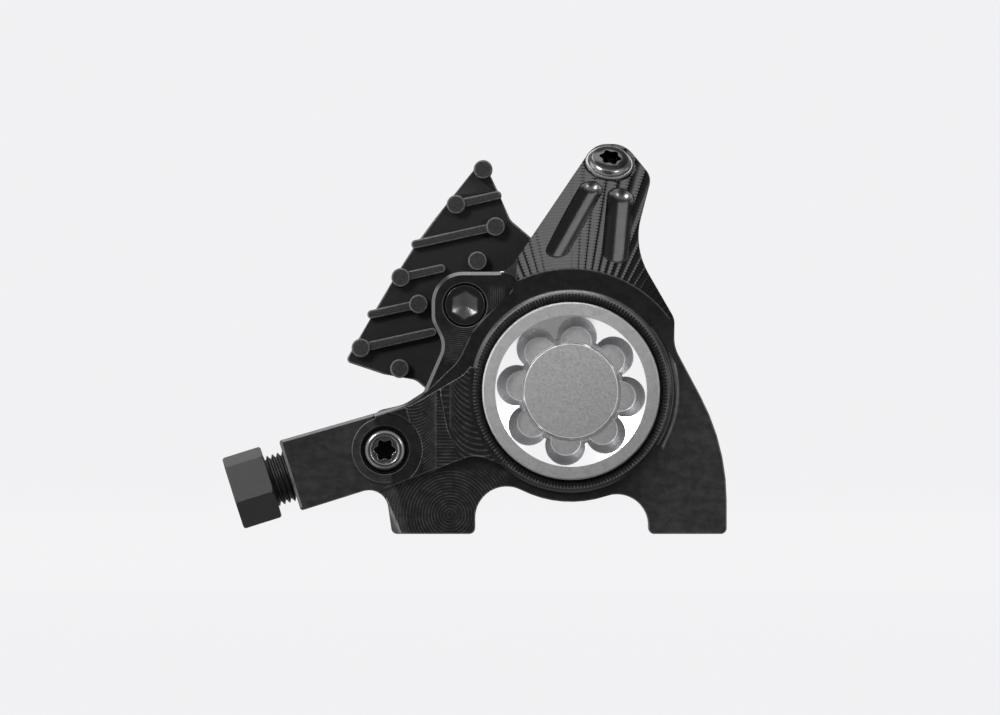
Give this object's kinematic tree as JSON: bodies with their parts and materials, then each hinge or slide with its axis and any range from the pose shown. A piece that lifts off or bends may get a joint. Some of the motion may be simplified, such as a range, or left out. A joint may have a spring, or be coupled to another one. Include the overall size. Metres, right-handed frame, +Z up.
{
  "type": "bicycle disc brake caliper",
  "caption": "Flat-mount hydraulic bicycle disc brake caliper with a machined body, finned pads, opposed pistons, screw-in bore cap, bleed and port screws and a hose nut.",
  "frame": {"origin": "midway between the two mounting bolt holes, on the plane of the feet", "axes": "+X along the bolt line away from the hose, +Y towards the wheel, +Z up from the feet"},
  "size_m": [0.0682, 0.0374, 0.0529],
  "materials": {
    "anodised_black": "satin",
    "silver_aluminium": "satin",
    "black_steel": "satin",
    "grey_nut": "satin",
    "seal_rubber": "matte",
    "piston_resin": "satin",
    "plate_steel": "satin",
    "spring_steel": "satin",
    "brake_lining": "matte",
    "olive_brass": "satin"
  },
  "bodies": {
    "caliper": {"caliper_body": "anodised_black", "bore_cap": "silver_aluminium", "bore_cap_seal": "seal_rubber", "front_piston_seal": "seal_rubber", "rear_piston_seal": "seal_rubber", "pad_spring": "spring_steel", "pad_pin_bolt": "black_steel", "pad_pin_clip": "spring_steel", "hose_olive": "olive_brass"},
    "front_piston": {"front_piston": "piston_resin"},
    "rear_piston": {"rear_piston": "piston_resin"},
    "front_pad": {"front_pad_plate": "plate_steel", "front_pad_lining": "brake_lining", "front_pad_fin": "anodised_black"},
    "rear_pad": {"rear_pad_plate": "plate_steel", "rear_pad_lining": "brake_lining", "rear_pad_fin": "anodised_black"},
    "bleed_seal": {"bleed_screw_seal": "seal_rubber"},
    "bleed_screw": {"bleed_screw": "black_steel"},
    "port_seal": {"port_screw_seal": "seal_rubber"},
    "port_screw": {"port_screw": "black_steel"},
    "hose_nut": {"hose_nut": "grey_nut"}
  },
  "joints": [
    {"name": "front_piston_slide", "type": "slide", "parent": "caliper", "child": "front_piston", "axis": [0, 1, 0], "range_m": [0, 0.0014], "stiffness_N_per_m": 500, "deforming": ["pad_spring"]},
    {"name": "rear_piston_slide", "type": "slide", "parent": "caliper", "child": "rear_piston", "axis": [0, -1, 0], "range_m": [0, 0.0014]},
    {"name": "front_pad_slide", "type": "slide", "parent": "caliper", "child": "front_pad", "axis": [0, 1, 0], "range_m": [0, 0.0014]},
    {"name": "rear_pad_slide", "type": "slide", "parent": "caliper", "child": "rear_pad", "axis": [0, -1, 0], "range_m": [0, 0.0014]},
    {"name": "bleed_lift", "type": "slide", "parent": "caliper", "child": "bleed_seal", "axis": [0.1265, -0.6561, 0.744], "range_m": [0, 0.0016]},
    {"name": "bleed_turn", "type": "hinge", "parent": "bleed_seal", "child": "bleed_screw", "pos_m": [0.0065, 0.01087, 0.05019], "axis": [0.1265, -0.6561, 0.744], "range_deg": [0, 720]},
    {"name": "port_lift", "type": "slide", "parent": "caliper", "child": "port_seal", "axis": [0, -1, 0], "range_m": [0, 0.0014]},
    {"name": "port_turn", "type": "hinge", "parent": "port_seal", "child": "port_screw", "pos_m": [-0.02392, -0.0062, 0.01135], "axis": [0, -1, 0], "range_deg": [0, 720]},
    {"name": "nut_turn", "type": "hinge", "parent": "caliper", "child": "hose_nut", "pos_m": [-0.03676, -0.0006, 0.00787], "axis": [-0.9537, 0, -0.3007], "range_deg": [-1080, 720]}
  ],
  "couplings": [
    {"joint": "rear_piston_slide", "follows": "front_piston_slide", "ratio": 1},
    {"joint": "front_pad_slide", "follows": "front_piston_slide", "ratio": 1},
    {"joint": "rear_pad_slide", "follows": "front_piston_slide", "ratio": 1},
    {"joint": "bleed_turn", "follows": "bleed_lift", "rad_per_m": 7854},
    {"joint": "port_turn", "follows": "port_lift", "rad_per_m": 8976}
  ]
}
